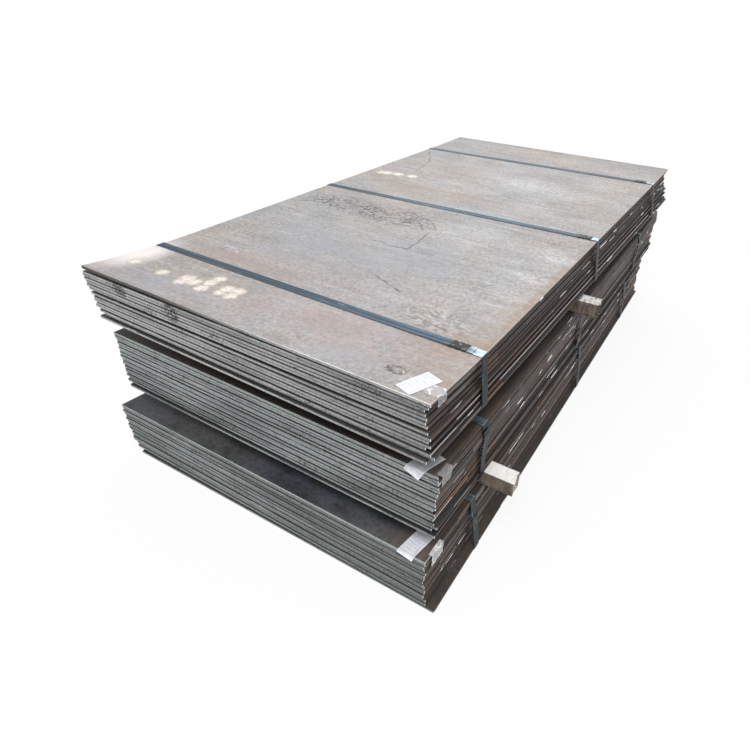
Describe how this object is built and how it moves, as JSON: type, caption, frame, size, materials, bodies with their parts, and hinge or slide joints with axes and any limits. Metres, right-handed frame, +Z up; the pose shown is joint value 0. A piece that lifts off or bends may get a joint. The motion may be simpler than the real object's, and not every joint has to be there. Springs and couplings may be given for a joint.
{
  "type": "strapped steel plate stack",
  "caption": "Stack of strapped bundles of hot-rolled steel plate, held apart by timber spacers, lying flat with springy stepped plate ends and crimped strap seals.",
  "frame": {"origin": "centre of the bounding box on the level surface the stack stands on", "axes": "+Z up, +Y along the plates away from the open front end, +X across the plates towards the side the spacer ends stand out of"},
  "size_m": [1.3942, 2.5714, 0.7072],
  "materials": {
    "plate_steel": "hot-rolled steel with thin mill scale, water marks and light rust",
    "strap_steel": "blued steel strapping with a dull sheen",
    "seal_steel": "blackened steel seal, crimped",
    "timber": "rough-sawn softwood, weathered",
    "label_paper": "matt white paper label",
    "tape_film": "crumpled adhesive film"
  },
  "bodies": {
    "root": {"bottom_bundle_top_plate": "plate_steel", "bottom_bundle_plates": "plate_steel", "middle_bundle_top_plate": "plate_steel", "middle_bundle_plates": "plate_steel", "top_bundle_top_plate": "plate_steel", "top_bundle_plates": "plate_steel", "bottom_front_strap": "strap_steel", "bottom_middle_strap": "strap_steel", "bottom_rear_strap": "strap_steel", "middle_front_strap": "strap_steel", "middle_middle_strap": "strap_steel", "middle_rear_strap": "strap_steel", "top_front_strap": "strap_steel", "top_middle_strap": "strap_steel", "top_rear_strap": "strap_steel", "bottom_front_seal": "seal_steel", "bottom_middle_seal": "seal_steel", "bottom_rear_seal": "seal_steel", "middle_front_seal": "seal_steel", "middle_middle_seal": "seal_steel", "middle_rear_seal": "seal_steel", "top_front_seal": "seal_steel", "top_middle_seal": "seal_steel", "top_rear_seal": "seal_steel", "lower_front_timber": "timber", "lower_middle_timber": "timber", "lower_rear_timber": "timber", "upper_front_timber": "timber", "upper_middle_timber": "timber", "upper_rear_timber": "timber", "bottom_label": "label_paper", "middle_label": "label_paper", "top_label": "label_paper", "bottom_tape": "tape_film", "middle_tape": "tape_film", "top_tape": "tape_film"}
  },
  "joints": []
}
